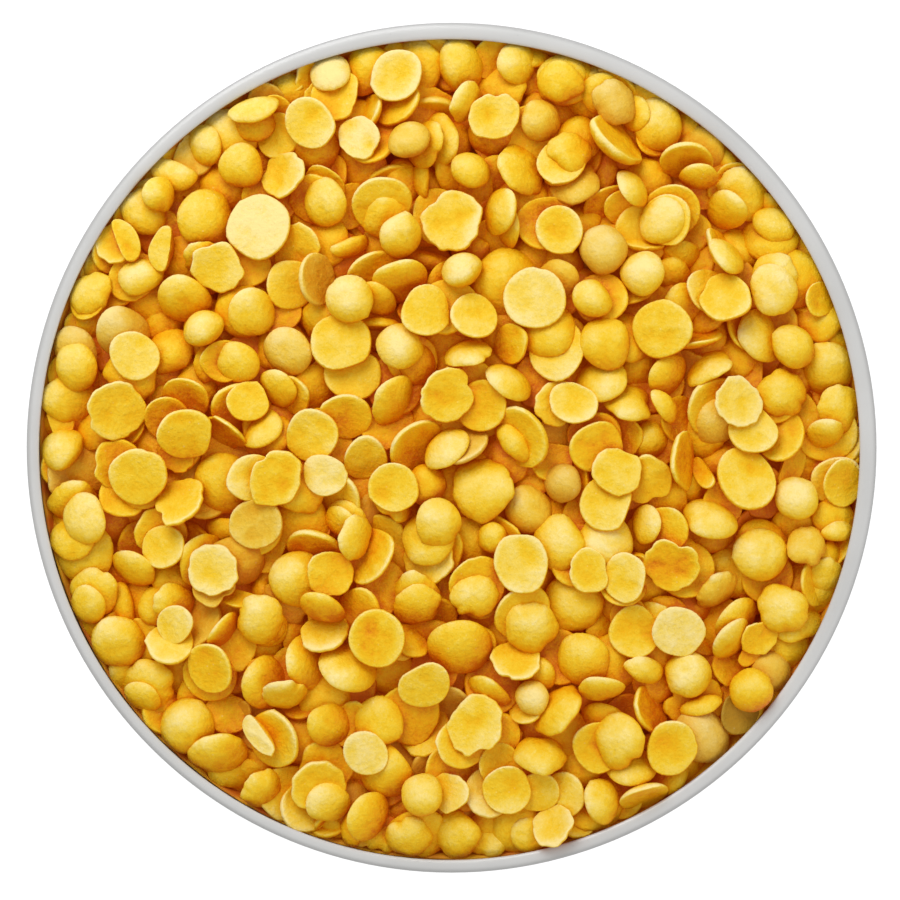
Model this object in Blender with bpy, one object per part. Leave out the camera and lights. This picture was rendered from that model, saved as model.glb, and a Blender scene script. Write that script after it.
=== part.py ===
"""A small round dish of pale grey enamelled steel, filled to its rolled rim with dry split yellow lentils.

The dish is one thin turned shell with a flat foot. The lentils are one heap: a solid core that follows the
inside of the dish, with the lentils that show on top fused to it. Each lentil is laid by one rule: of many
random places and tilts, it takes the one in which it comes to rest lowest on those already there.
"""

import math

import bmesh
import bpy
import numpy as np

MM = 0.001

# Dish
RIM_RADIUS = 41.75 * MM  # outside of the rolled rim
RIM_HEIGHT = 26.0 * MM  # top of the rolled rim
LIP_HALF_WIDTH, LIP_HALF_HEIGHT = 0.72 * MM, 0.30 * MM  # of the flattened roll, turned in over the wall
LIP_MORE = 0.14 * MM  # the roll is uneven: this much wider on one side of the dish and less on the other
LIP_WIDEST = math.radians(41)  # where it is widest, as an angle about the dish's axis
WALL_RADIUS = 41.7 * MM  # outside of the wall just under the roll
WALL = 0.5 * MM
FOOT_RADIUS = 21.0 * MM  # the flat that the dish stands on
BOWL_POWER = 3.0  # 2 gives a round side, more a squarer one
BOWL_STEPS = 9
LIP_STEPS = 6  # from the outermost point over the top to 45 degrees past the innermost
LIP_STARTS, LIP_ENDS = -0.35, 1.5 * math.pi + 0.1  # angles where the roll leaves the wall, out and in
WALL_TOP = 25.0 * MM  # the wall ends here, and the roll goes on from it
TURN_STEPS = 48

# Heap
GAP = 0.3 * MM  # between the heap and the dish
FLATS = 0.1 * MM  # the wall's facets stand this far inside its true curve
REACH = WALL_RADIUS - WALL - FLATS - GAP  # outside of the heap
EDGE_LEVEL = 25.3 * MM  # mean surface of the heap at the wall
CROWN = 1.6 * MM  # how much higher it is in the middle
BED_DEPTH = 3.2 * MM  # from the mean surface down to the lowest lentils laid

# Lentils
LENTILS = 825
MEAN_RADIUS, RADIUS_SPREAD = 2.72 * MM, 0.30 * MM
LEAST_RADIUS, MOST_RADIUS = 2.05 * MM, 3.4 * MM
SPLIT, WHOLE, BROKEN = 0, 1, 2
KIND_SHARES = (0.86, 0.08, 0.06)

# How lentils are laid
SEED = 5
CELL = 0.25 * MM  # of the height map that they come to rest on
PATCH = 14  # cells on each side of a lentil's middle that it can cover
TRIES = 300  # places and tilts tried for each lentil
WALL_TRIES = 90  # of them, against the wall
WALL_BAND = 0.88  # square of how far out those start, as a share of the heap's radius
WALL_FAVOUR = 0.45 * MM  # how much higher a lentil may rest to lie at the wall
BED_STEP, BED_JITTER, BED_ROUGH = 4.3 * MM, 0.7 * MM, 0.5 * MM  # of the lowest lentils' grid
WALL_RING = 94  # lentils laid round the wall before the others
WALL_RING_DEPTHS = (2.8 * MM, 1.1 * MM)  # of every other one, under the mean surface
TILT_SPREAD, STEEPEST = 0.42, 1.35  # radians away from the slope under a lentil
SLOPE_KEPT, SLOPE_MOST = 0.75, 0.55  # share of the slope under it that a lentil follows
STAGE_ENDS = (0.55, 0.7)  # shares of them: up to the first they lie deep, then on top, and the last fill gaps
STAGE_SINKS = (0.42 * MM, 0.24 * MM, 0.5 * MM)  # how far those of each stage bed into the ones below
LAST_SMALLER = 0.9  # size of those that fill gaps
PROUD = 1.1 * MM  # past this height above the mean surface a lentil's crest counts against it
WEIGHT_COST, CREST_COST, HOLLOW_COST, PROUD_COST = 0.7, 0.3, 0.7, 3.0

# Faceted solids
SIDES = 7
OVERSIZE = 1.035  # so that a lentil of few sides is as large as a round one
LEAST_SEEN = 7.9 * MM**2  # a lentil that shows less than this from above is left to the core
CORE_STEP = 5.0 * MM
CORE_SIDES = 36
CORE_WINDOW = 2.0 * MM  # half the width of the patch that sets the core's height
CORE_SHARE = 40  # percentile of the heights in that patch
CORE_DROP = 0.35 * MM
CORE_EDGE = EDGE_LEVEL - 1.0 * MM  # height of the core's top at the wall
CORE_LOWEST = CORE_EDGE - 0.9 * MM
CORE_SIDE = CORE_EDGE - 1.0 * MM  # the core follows the bowl up to here


def level(radius):
    """Height of the heap's mean surface at this distance from the middle: a shallow paraboloid."""
    return EDGE_LEVEL + CROWN * (1 - np.clip(radius / REACH, 0, 1) ** 2)


def lip_half_width(angle):
    """Half the width of the rim's flattened roll at this angle about the dish's axis."""
    return LIP_HALF_WIDTH + LIP_MORE * np.cos(angle - LIP_WIDEST)


def ceiling(radius, angle):
    """How high the heap may be at a place: under the roll and clear of it, and nothing past its reach."""
    half = lip_half_width(angle)
    near = 1 - ((RIM_RADIUS - half - radius) / (half + GAP)) ** 2
    drop = LIP_HALF_HEIGHT + (LIP_HALF_HEIGHT + GAP) * np.sqrt(np.maximum(near, 0))
    return np.where(radius > REACH, 0, np.where(near > 0, RIM_HEIGHT - drop, 1))


def draw_lentils(rng):
    """Kind of each lentil, its half sizes along, across and up the dome, and its seam face's depth.

    The widest line round a lentil lies at height 0, the dome above it and the flat seam face just below.
    """
    kind = rng.choice(3, LENTILS, p=KIND_SHARES)
    along = np.clip(rng.normal(MEAN_RADIUS, RADIUS_SPREAD, LENTILS), LEAST_RADIUS, MOST_RADIUS)
    along[int(STAGE_ENDS[-1] * LENTILS):] *= LAST_SMALLER
    across = along * rng.uniform(0.86, 1.0, LENTILS)
    dome = along * rng.uniform(0.34, 0.54, LENTILS)
    seam = along * rng.uniform(0.06, 0.12, LENTILS)
    whole, broken = kind == WHOLE, kind == BROKEN
    along[whole] *= 0.9
    across[whole] = 0.97 * along[whole]
    dome[whole] = along[whole] * rng.uniform(0.62, 0.8, whole.sum())
    seam[whole] = 0.9 * dome[whole]
    along[broken] *= 0.85
    across[broken] = along[broken] * rng.uniform(0.55, 0.75, broken.sum())
    return kind, np.stack([along, across, dome], 1), seam


def bed_places(rng):
    """Distance and angle from the middle, and depth, of the lentils laid first.

    They are a hexagonal grid, each point moved a little, and a higher ring that fills the corner at the
    wall."""
    count = int(REACH / BED_STEP) + 2
    i, j = np.meshgrid(np.arange(-count, count + 1), np.arange(-count, count + 1))
    x = (i + 0.5 * (j % 2)) * BED_STEP + rng.uniform(-BED_JITTER, BED_JITTER, i.shape)
    y = j * BED_STEP * math.sqrt(0.75) + rng.uniform(-BED_JITTER, BED_JITTER, i.shape)
    radius, angle = np.hypot(x, y).ravel(), np.arctan2(y, x).ravel()
    inside = radius < REACH
    ring = (np.arange(WALL_RING) + rng.uniform(-0.3, 0.3, WALL_RING)) * 2 * math.pi / WALL_RING
    depth = np.append(np.full(inside.sum(), BED_DEPTH), np.resize(WALL_RING_DEPTHS, WALL_RING))
    return np.append(radius[inside], np.full(WALL_RING, REACH)), np.append(angle[inside], ring), depth


def free_places(rng):
    """Random distances and angles from the middle, the last of them near the wall."""
    inner = np.where(np.arange(TRIES) < TRIES - WALL_TRIES, 0.0, WALL_BAND)
    return REACH * np.sqrt(rng.uniform(inner, 1)), rng.uniform(0, 2 * math.pi, TRIES)


def unit(vectors):
    """The vectors, one in each row, at length 1."""
    return vectors / np.linalg.norm(vectors, axis=1, keepdims=True)


def turned_about(normal, spin):
    """Rotation matrices whose third column is the normal, turned about it by spin."""
    helper = np.where(np.abs(normal[:, 2:3]) < 0.9, [[0.0, 0.0, 1.0]], [[1.0, 0.0, 0.0]])
    x = unit(np.cross(helper, normal))
    y = np.cross(normal, x)
    cosine, sine = np.cos(spin)[:, None], np.sin(spin)[:, None]
    return np.stack([x * cosine + y * sine, y * cosine - x * sine, normal], 2)


def faces_over(turn, size, seam, dx, dy):
    """Under and upper face of a lentil over each cell, from its middle, and the cells that it covers.

    Along the upright line over a cell, a lentil is what lies both in an ellipsoid, between the two roots of
    a quadratic, and on the dome's side of the seam face."""
    across = turn[:, 0, :, None, None] * dx[:, None] + turn[:, 1, :, None, None] * dy[:, None]
    up = turn[:, 2, :, None, None]
    u, w = across / size[:, None, None], up / size[:, None, None]
    square, half, rest = (w * w).sum(1), (u * w).sum(1), (u * u).sum(1) - 1
    root = half * half - square * rest
    inside = root > 0
    root = np.sqrt(np.maximum(root, 0))
    under, upper = (-half - root) / square, (-half + root) / square
    rise = np.where(np.abs(up[:, 2]) < 1e-3, 1e-3, up[:, 2])
    cut = (-seam - across[:, 2]) / rise
    under = np.where(rise > 0, np.maximum(under, cut), under)
    upper = np.where(rise > 0, upper, np.minimum(upper, cut))
    return under, upper, inside & (upper > under)


class Ground:
    """Height map of the heap so far, with the number of the lentil that shows in each cell."""

    def __init__(self):
        self.half = int(math.ceil(REACH / CELL)) + PATCH + 3
        self.axis = (np.arange(2 * self.half + 1) - self.half) * CELL
        x, y = np.meshgrid(self.axis, self.axis)
        self.radius = np.hypot(x, y)
        self.ceiling = ceiling(self.radius, np.arctan2(y, x))
        self.top = level(self.radius) - BED_DEPTH
        self.owner = np.full(self.top.shape, -1)

    def around(self, x, y):
        """Rows and columns of the cells about each point, and their places from it."""
        reach = np.arange(-PATCH, PATCH + 1)
        rows = np.rint(y / CELL).astype(int)[:, None, None] + self.half + reach[None, :, None]
        cols = np.rint(x / CELL).astype(int)[:, None, None] + self.half + reach[None, None, :]
        return rows, cols, self.axis[cols] - x[:, None, None], self.axis[rows] - y[:, None, None]

    def slope(self, x, y, reach):
        """Slope of the ground about each point, along X and along Y, by least squares."""
        rows, cols, dx, dy = self.around(x, y)
        near = (dx**2 + dy**2 < reach**2) & (self.radius[rows, cols] < REACH)
        height = self.top[rows, cols]
        mean = (height * near).sum((1, 2)) / near.sum((1, 2))
        rise = (height - mean[:, None, None]) * near
        return [(rise * d).sum((1, 2)) / (d * d * near).sum((1, 2)) for d in (dx, dy)]

    def take(self, cells, upper, number):
        """Raises the ground to a lentil's upper face and notes where the lentil shows."""
        self.owner[cells] = np.where(upper > self.top[cells], number, self.owner[cells])
        self.top[cells] = np.maximum(upper, self.top[cells])


def resting_turns(rng, ground, x, y, size):
    """Random turns that follow the ground about each point but for one tilt, seam face up or down."""
    count = len(x)
    slope_x, slope_y = ground.slope(x, y, 0.9 * size[0])
    steep = np.maximum(np.hypot(slope_x, slope_y), 1e-9)
    kept = np.minimum(SLOPE_KEPT * steep, SLOPE_MOST) / steep
    normal = unit(np.stack([-slope_x * kept, -slope_y * kept, np.ones(count)], 1))
    tilt = min(abs(rng.normal(0, TILT_SPREAD)), STEEPEST)
    lean = rng.uniform(0, 2 * math.pi, count)
    normal = unit(normal + math.tan(tilt) * np.stack([np.cos(lean), np.sin(lean), 0 * lean], 1))
    normal *= rng.choice((-1, 1), count)[:, None]
    return turned_about(normal, rng.uniform(0, 2 * math.pi, count))


def lay_lentils():
    """Lays every lentil in turn: of many places and tilts, it takes the one that costs least.

    A place costs its height above the heap's mean surface, for the lentil's weight and its crest, and the
    hollow left under it. A place that is through the wall or the roll, or far too proud, costs too much.
    Returns the kinds, half sizes, seam depths, middles and turns, and the ground."""
    rng = np.random.default_rng(SEED)
    kind, size, seam = draw_lentils(rng)
    bed_radius, bed_angle, bed_depth = bed_places(rng)
    ground = Ground()
    middles, turns = np.zeros((LENTILS, 3)), np.zeros((LENTILS, 3, 3))
    for i in range(LENTILS):
        in_bed = i < len(bed_radius)
        radius, angle = (bed_radius[i : i + 1], bed_angle[i : i + 1]) if in_bed else free_places(rng)
        way = np.stack([np.cos(angle), np.sin(angle)], 1)
        turn = resting_turns(rng, ground, radius * way[:, 0], radius * way[:, 1], size[i])
        outward = turn[:, 0] * way[:, :1] + turn[:, 1] * way[:, 1:]
        most = REACH - OVERSIZE * np.sqrt(((outward * size[i]) ** 2).sum(1))
        at_wall = radius > most
        radius = np.minimum(radius, most)
        x, y = radius * way[:, 0], radius * way[:, 1]
        rows, cols, dx, dy = ground.around(x, y)
        under, upper, covers = faces_over(turn, size[i], seam[i], dx, dy)
        height = ground.top[rows, cols]
        if in_bed:
            room = np.where(covers, ground.ceiling[rows, cols] - upper, 1).min((1, 2))
            z = np.minimum(level(radius) - bed_depth[i] + rng.uniform(-BED_ROUGH, BED_ROUGH, 1), room)
        else:
            stage = np.searchsorted(STAGE_ENDS, i / LENTILS, side="right")
            z = np.where(covers, height - under, -1).max((1, 2)) - STAGE_SINKS[stage]
        lift = z[:, None, None]
        hollow = np.where(covers, under + lift - height, 0).sum((1, 2)) / covers.sum((1, 2))
        crest = np.where(covers, upper, -1).max((1, 2)) + z - level(radius)
        heavy = turn[:, 2, 2] * (0.375 * size[i, 2] - 0.5 * seam[i]) * (kind[i] != WHOLE)
        weight = z + heavy - level(radius)
        blocked = covers & (upper + lift > ground.ceiling[rows, cols])
        cost = WEIGHT_COST * weight + CREST_COST * crest + HOLLOW_COST * hollow - WALL_FAVOUR * at_wall
        cost += PROUD_COST * np.maximum(crest - PROUD, 0) + blocked.any((1, 2))
        best = int(np.argmin(cost))
        middles[i] = x[best], y[best], z[best]
        turns[i] = turn[best]
        ground.take((rows[best], cols[best]), np.where(covers[best], upper[best] + z[best], -1), i)
    return kind, size, seam, middles, turns, ground


def finished(name, made):
    """Puts a bmesh into a new object in the scene, with its faces pointing out."""
    bmesh.ops.recalc_face_normals(made, faces=made.faces)
    mesh = bpy.data.meshes.new(name)
    made.to_mesh(mesh)
    made.free()
    thing = bpy.data.objects.new(name, mesh)
    bpy.context.scene.collection.objects.link(thing)
    return thing


def ring_of(made, radius, z, count, start=0.0):
    """A level ring of points about Z, or one point on the axis."""
    if radius < 1e-9:
        return [made.verts.new((0, 0, z))]
    angles = [2 * math.pi * (k + start) / count for k in range(count)]
    return [made.verts.new((radius * math.cos(t), radius * math.sin(t), z)) for t in angles]


def stitch(made, first, second, first_start=0.0, second_start=0.0):
    """Fills the band between two rings of points about Z, of any numbers, with triangles.

    Each step takes the next point of the ring that lags behind in angle."""
    i = j = 0
    while i < len(first) or j < len(second):
        a, b = first[i % len(first)], second[j % len(second)]
        next_first = (i + 1 + first_start) / len(first)
        next_second = (j + 1 + second_start) / len(second)
        if j >= len(second) or (i < len(first) and next_first <= next_second):
            i += 1
            corners = (a, first[i % len(first)], b)
        else:
            j += 1
            corners = (a, second[j % len(second)], b)
        if len(set(corners)) == 3:
            made.faces.new(corners)


def bowl_curve(inset):
    """Points up the bowl's side, from the foot to the roll: a quarter superellipse, moved in by inset."""
    turn = np.linspace(0, math.pi / 2, BOWL_STEPS)
    radius = FOOT_RADIUS + (WALL_RADIUS - FOOT_RADIUS) * np.sin(turn) ** (2 / BOWL_POWER)
    z = WALL_TOP * (1 - np.cos(turn) ** (2 / BOWL_POWER))
    run, rise = np.gradient(radius), np.gradient(z)
    length = np.hypot(run, rise)
    return np.stack([radius - inset * rise / length, z + inset * run / length], 1)


def dish_section(angle):
    """The dish's section at an angle: out under the foot, up, over the roll and down inside."""
    half = lip_half_width(angle)
    turn = np.array([LIP_STARTS, *np.linspace(0, 1.25 * math.pi, LIP_STEPS), LIP_ENDS])
    lip = np.stack([RIM_RADIUS - half + half * np.cos(turn),
                    RIM_HEIGHT - LIP_HALF_HEIGHT + LIP_HALF_HEIGHT * np.sin(turn)], 1)
    outside, inside = (curve[:-1] for curve in (bowl_curve(0), bowl_curve(WALL)))
    return [*outside, (WALL_RADIUS, WALL_TOP), *lip, (WALL_RADIUS - WALL, WALL_TOP), *inside[::-1]]


def dish():
    """The dish: its section carried round Z, with a flat foot under it and a flat floor in it."""
    made = bmesh.new()
    columns = []
    for k in range(TURN_STEPS):
        angle = 2 * math.pi * k / TURN_STEPS
        columns.append([made.verts.new((radius * math.cos(angle), radius * math.sin(angle), z))
                        for radius, z in dish_section(angle)])
    for this, following in zip(columns, columns[1:] + columns[:1]):
        for k in range(len(this) - 1):
            made.faces.new((this[k], following[k], following[k + 1], this[k + 1]))
    made.faces.new([column[0] for column in columns])
    made.faces.new([column[-1] for column in columns])
    thing = finished("dish", made)
    thing.data.shade_smooth()
    thing.data.set_sharp_from_angle(angle=math.radians(35))
    return thing


def core_height(ground, x, y):
    """Height of the core's top at a point: just under the lower of the heap's heights round it."""
    window = int(round(CORE_WINDOW / CELL))
    rows = int(round(y / CELL)) + ground.half + np.arange(-window, window + 1)
    cols = int(round(x / CELL)) + ground.half + np.arange(-window, window + 1)
    patch = ground.top[np.ix_(rows, cols)]
    return max(float(np.percentile(patch, CORE_SHARE)) - CORE_DROP, CORE_LOWEST)


def core(ground):
    """The heap under the lentils that show: the inside of the dish, with a rough top."""
    made = bmesh.new()
    side = [(radius, z) for radius, z in bowl_curve(WALL + GAP) if z < CORE_SIDE]
    below = [(0, side[0][1]), *side, (REACH, CORE_EDGE)]
    rings = [ring_of(made, radius, z, CORE_SIDES) for radius, z in below]
    starts = [0.0] * len(rings)
    bands = int(REACH / CORE_STEP)
    for band in range(bands - 1, -1, -1):
        radius = REACH * band / bands
        count = max(1, round(2 * math.pi * radius / CORE_STEP))
        start = 0.5 * (band % 2)
        ring = ring_of(made, radius, 0, count, start)
        for point in ring:
            point.co.z = core_height(ground, point.co.x, point.co.y)
        rings.append(ring)
        starts.append(start)
    for n in range(len(rings) - 1):
        stitch(made, rings[n], rings[n + 1], starts[n], starts[n + 1])
    return finished("lentils", made)


def faceted_lentil(name, size, seam, whole, middle, turn):
    """A lentil of few sides: seam face, a band up the dome and its top, or two bands on a whole one."""
    made = bmesh.new()
    angles = np.arange(SIDES) * 2 * math.pi / SIDES
    levels = [(0.55, -0.85), (1.0, 0.0), (0.55, 0.85)] if whole else [(1.0, -seam / size[2]), (0.58, 0.86)]
    rings = []
    for reach, lift in levels:
        width = OVERSIZE * reach
        local = np.stack([width * np.cos(angles), width * np.sin(angles), np.full(SIDES, lift)], 1) * size
        rings.append([made.verts.new(point) for point in local @ turn.T + middle])
    made.faces.new(rings[0])
    made.faces.new(rings[-1])
    for lower, upper in zip(rings, rings[1:]):
        for k in range(SIDES):
            n = (k + 1) % SIDES
            made.faces.new((lower[k], lower[n], upper[n], upper[k]))
    return finished(name, made)


def fuse(thing, pieces):
    """Joins the pieces to the thing with one Boolean union, applies it and removes the pieces."""
    group = bpy.data.collections.new("fused pieces")
    for piece in pieces:
        bpy.context.scene.collection.objects.unlink(piece)
        group.objects.link(piece)
    union = thing.modifiers.new("fuse", "BOOLEAN")
    union.operation, union.solver = "UNION", "MANIFOLD"
    union.operand_type, union.collection = "COLLECTION", group
    graph = bpy.context.evaluated_depsgraph_get()
    joined = bpy.data.meshes.new_from_object(thing.evaluated_get(graph))
    thing.modifiers.clear()
    thing.data = joined
    for piece in pieces:
        bpy.data.objects.remove(piece)
    bpy.data.collections.remove(group)


def island_of(face):
    """All the faces that join up with this one."""
    found, edge = {face}, [face]
    while edge:
        near = {other for side in edge.pop().edges for other in side.link_faces} - found
        found |= near
        edge.extend(near)
    return found


def keep_largest(thing):
    """Drops every lentil that no other one joined to the heap, and fills any hollow that fusing sealed."""
    made = bmesh.new()
    made.from_mesh(thing.data)
    islands, left = [], set(made.faces)
    while left:
        islands.append(island_of(next(iter(left))))
        left -= islands[-1]
    largest = max(islands, key=len)
    bmesh.ops.delete(made, geom=[face for face in made.faces if face not in largest], context="FACES")
    made.to_mesh(thing.data)
    made.free()


def heap():
    """The core with the lentils that show fused on, as one solid."""
    kind, size, seam, middles, turns, ground = lay_lentils()
    seen = np.bincount(ground.owner[ground.owner >= 0], minlength=LENTILS) * CELL**2
    thing = core(ground)
    shown = np.flatnonzero(seen > LEAST_SEEN)
    fuse(thing, [faceted_lentil(f"lentil_{i}", size[i], seam[i], kind[i] == WHOLE, middles[i], turns[i])
                 for i in shown])
    keep_largest(thing)
    return thing


def paint(thing, name, colour, roughness, metallic=0.0):
    """Gives an object its own Principled material."""
    material = bpy.data.materials.new(name)
    material.use_nodes = True
    shader = material.node_tree.nodes["Principled BSDF"]
    shader.inputs["Base Color"].default_value = (*colour, 1)
    shader.inputs["Roughness"].default_value = roughness
    shader.inputs["Metallic"].default_value = metallic
    thing.data.materials.clear()
    thing.data.materials.append(material)


def main():
    for old in list(bpy.data.objects):
        bpy.data.objects.remove(old)
    paint(dish(), "grey enamel", (0.62, 0.62, 0.61), 0.25)
    paint(heap(), "yellow lentil", (0.86, 0.52, 0.07), 0.6)


main()
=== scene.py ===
"""The looks of a dish of dry split yellow lentils, seen from straight above.

The dish is pale grey enamelled steel with a rolled rim. The lentils are laid by the same rule and the same
draw as the solid heap's, so each one that shows is where the solid has it.
"""

import math

import bpy
import numpy as np
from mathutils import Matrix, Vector


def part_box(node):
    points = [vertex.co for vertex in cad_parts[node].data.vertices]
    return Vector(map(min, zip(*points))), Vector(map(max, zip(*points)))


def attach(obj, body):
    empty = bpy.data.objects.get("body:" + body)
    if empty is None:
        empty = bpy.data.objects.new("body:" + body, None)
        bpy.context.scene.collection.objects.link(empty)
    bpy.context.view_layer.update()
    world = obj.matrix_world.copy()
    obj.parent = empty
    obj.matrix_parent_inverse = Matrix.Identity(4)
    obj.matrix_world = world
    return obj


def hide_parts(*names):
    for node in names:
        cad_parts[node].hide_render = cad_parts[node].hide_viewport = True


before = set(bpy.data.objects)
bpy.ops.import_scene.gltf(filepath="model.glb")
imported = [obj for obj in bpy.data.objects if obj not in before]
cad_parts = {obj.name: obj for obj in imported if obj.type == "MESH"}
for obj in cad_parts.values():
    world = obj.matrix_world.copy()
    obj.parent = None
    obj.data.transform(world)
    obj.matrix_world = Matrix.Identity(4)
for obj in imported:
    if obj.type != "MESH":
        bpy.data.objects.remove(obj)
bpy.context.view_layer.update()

MM = 0.001
dish_low, dish_high = (np.array(corner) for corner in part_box("dish"))

# Dish
RIM_RADIUS = round((dish_high[0] - dish_low[0]) / 2 / MM, 2) * MM
RIM_HEIGHT = round(dish_high[2] / MM, 1) * MM
LIP_HALF_WIDTH, LIP_HALF_HEIGHT = 0.72 * MM, 0.30 * MM  # of the rim's flattened roll
LIP_MORE = 0.14 * MM  # the roll is uneven: this much wider on one side of the dish and less on the other
LIP_WIDEST = math.radians(41)
LIP_STARTS, LIP_ENDS = -0.35, 1.5 * math.pi + 0.1  # angles where the roll leaves the wall, outside and in
WALL_RADIUS = RIM_RADIUS - 0.05 * MM
WALL_TOP = RIM_HEIGHT - 1.0 * MM
WALL = 0.5 * MM
FOOT_RADIUS = 21.0 * MM
BOWL_POWER = 3.0
UNDER_ROLL = 0.6 * MM  # the bowl's curve ends this much under the wall's top
BOWL_STEPS, LIP_STEPS, TURN_STEPS = 26, 30, 192  # points up the side, over the roll and round the dish
RIM_EDGE = 0.5 * MM  # how far in from the rim's outside the painted shade on its outer shoulder fades out

# Heap
GAP = 0.3 * MM
FLATS = 0.1 * MM
REACH = WALL_RADIUS - WALL - FLATS - GAP
HEAP_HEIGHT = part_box("lentils")[1][2]
NEARLY = 0.001 * MM
EDGE_LEVEL = 25.3 * MM
CROWN = 1.6 * MM
BED_DEPTH = 3.2 * MM
CORE_DEPTH = 4.5 * MM  # the core's top lies this far under the heap's mean surface
CORE_RISE, CORE_CORNER = 3.4 * MM, 0.9 * MM  # but rises at the wall, this much and this near to it
CORE_ROUGH = 0.12 * MM  # spread of the heights of the core's top
CORE_SIDES = 96
CORE_EDGE, CORE_EDGE_RINGS = (0.02, 2.5), 10  # millimetres from the wall, and rings of the core's top there
CORE_INNER, CORE_INNER_RINGS = 3.2 * MM, 22  # the same from there to the middle

# Lentils
LENTILS = 825  # laid as the solid heap's are
MEAN_RADIUS, RADIUS_SPREAD = 2.72 * MM, 0.30 * MM
LEAST_RADIUS, MOST_RADIUS = 2.05 * MM, 3.4 * MM
SPLIT, WHOLE, BROKEN = 0, 1, 2
KIND_SHARES = (0.86, 0.08, 0.06)
ACROSS, DOME, SEAM = (0.86, 1.0), (0.34, 0.54), (0.06, 0.12)  # least and most share of the half length
WHOLE_SMALLER, WHOLE_ACROSS, WHOLE_DOME, WHOLE_SEAM = 0.9, 0.97, (0.62, 0.8), 0.9
BROKEN_SMALLER, BROKEN_ACROSS = 0.85, (0.55, 0.75)
HALF_MIDDLE = 0.375  # how high a half ellipsoid's centre of mass lies, as a share of its height
LEAST_SEEN = 0.8 * MM**2  # a lentil that shows less than this from above is made with fewer faces

# Surfaces of the lentils, in shares of the half length where nothing else is said
RAGGED_SHARE, TAN_SHARE, NUB_SHARE = 0.30, 0.06, 0.4  # of all the lentils
WAVES = ((2, 0.0, 0.03), (3, 0.0, 0.035), (4, 0.0, 0.024), (6, 0.0, 0.012))  # times round, least and most
RAGGED_WAVES = ((5, 0.01, 0.035), (9, 0.0, 0.03), (14, 0.0, 0.02))
BITES = (((0.2, 0.5), (0.05, 0.24)), ((0.15, 0.35), (0.0, 0.16)))  # least and most radians, and depth
NUBS = ((0.13, (0.03, 0.08)), (0.4, (0.03, 0.10)))  # radians, and least and most height
NOTCH, NOTCH_DEPTH = 0.09, (0.02, 0.06)
FLATTENED, FLAT_POWER = (0.84, 1.3), 14  # where a side is flattened, and how sharply it turns there
LEAST_COSINE = 0.05
BREAK, BREAK_LEAN, BREAK_POWER = (0.35, 0.6), 0.15, 6  # the same of a broken lentil's straight side
EDGE_SHARE = 0.07  # of a lentil's reach that its rounded edge takes up on the seam side
FACE_RINGS, COARSE_FACE_RINGS = (0.80, 0.55, 0.28), (0.5,)
COARSE = 8  # rings of a lentil with a coarse face, at most
DOME_RINGS = 0.6  # of the rings that aren't the face's
DOME_POWER = 1.3
FACE_HOLLOW = (-0.02, 0.07)
DENTS, DENT_PLACES, DENT_WIDTHS, DENT_DEPTHS = 4, (0, 0.8), (0.16, 0.4), (-0.03, 0.065)
RIDGE_PLACES, RIDGE_CURVES, RIDGE_HEIGHTS, RIDGE_WIDTHS = (-0.4, 0.4), (-0.5, 0.5), (-0.05, 0.06), (0.1, 0.3)
BEND_SPREAD = 0.045
DOME_MIDDLE = 0.02  # the dome's middle is this much higher than the ring round it
RUBBED_REACH, RUBBED_LIFT = 0.12, 0.3  # how far in and up from the edge a lentil is rubbed
SMOOTH_GRID, RAGGED_GRID, BROKEN_GRID, HIDDEN_GRID = (12, 28), (12, 44), (12, 36), (6, 12)  # rings and sides

# How lentils are laid
SEED = 5
LOOK_SEED = 11
CELL = 0.25 * MM
PATCH, MARGIN = 14, 3  # cells
TRIES = 300
WALL_TRIES = 90
WALL_BAND = 0.88
WALL_FAVOUR = 0.45 * MM
BED_STEP, BED_JITTER, BED_ROUGH = 4.3 * MM, 0.7 * MM, 0.5 * MM
WALL_RING, RING_JITTER = 94, 0.3  # lentils laid round the wall before the others, and jitter in their step
WALL_RING_DEPTHS = (2.8 * MM, 1.1 * MM)  # of every other one, under the mean surface
TILT_SPREAD, STEEPEST = 0.42, 1.35
SLOPE_REACH, SLOPE_KEPT, SLOPE_MOST = 0.9, 0.75, 0.55
STAGE_ENDS = (0.55, 0.7)
STAGE_SINKS = (0.42 * MM, 0.24 * MM, 0.5 * MM)
LAST_SMALLER = 0.9
PROUD = 1.1 * MM
WEIGHT_COST, CREST_COST, HOLLOW_COST, PROUD_COST = 0.7, 0.3, 0.7, 3.0
OVERSIZE = 1.035

# Lentils low in the gaps, where the solid heap has its core
FILLERS = 230
FILLER_DEPTHS = (0.4 * MM, 1.6 * MM)  # of their crests, under the mean surface
GAP_DEPTH = 1.8 * MM  # a gap is this much lower than the mean surface
WALL_GAP, WALL_GAP_DEPTH = 2.2 * MM, 0.8 * MM  # this near to the wall it only has to be so much lower
CROSSING, CROSSING_COST = 0.25 * MM, 0.8  # a lentil's face this near to another's passes through it
LEAST_FILLED = 0.7 * MM**2

# Photograph
IMAGE = 900  # pixels across it
RIM_MIDDLE = (451.6, 447.7)  # pixel of the rim's middle
RIM_SPAN = 850.0  # pixels across the rim's outside
PIXEL = 2 * RIM_RADIUS / RIM_SPAN
LENS, SENSOR = 85.0, 36.0
NOTED = (  # lentils that stand out: where, and the look that the nearest one takes
    ((548, 453), {"tint": 0.9, "pale": 0.1, "tan": 0.0}),
    ((736, 705), {"tint": 0.2, "pale": 0.0, "tan": 1.75}),
    ((693, 720), {"tint": 0.6, "pale": 0.8, "tan": 0.9}),
    ((335, 83), {"tint": 0.9, "pale": 1.3, "tan": 0.0}),
    ((613, 522), {"tint": 0.8, "pale": 1.2, "tan": 0.0}),
    ((512, 688), {"tint": 0.6, "pale": 1.0, "tan": 0.3}),
    ((235, 588), {"tint": 0.2, "pale": -0.1, "tan": 0.5}),
)
NOTED_LEAST_SEEN = 8 * MM**2
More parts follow.
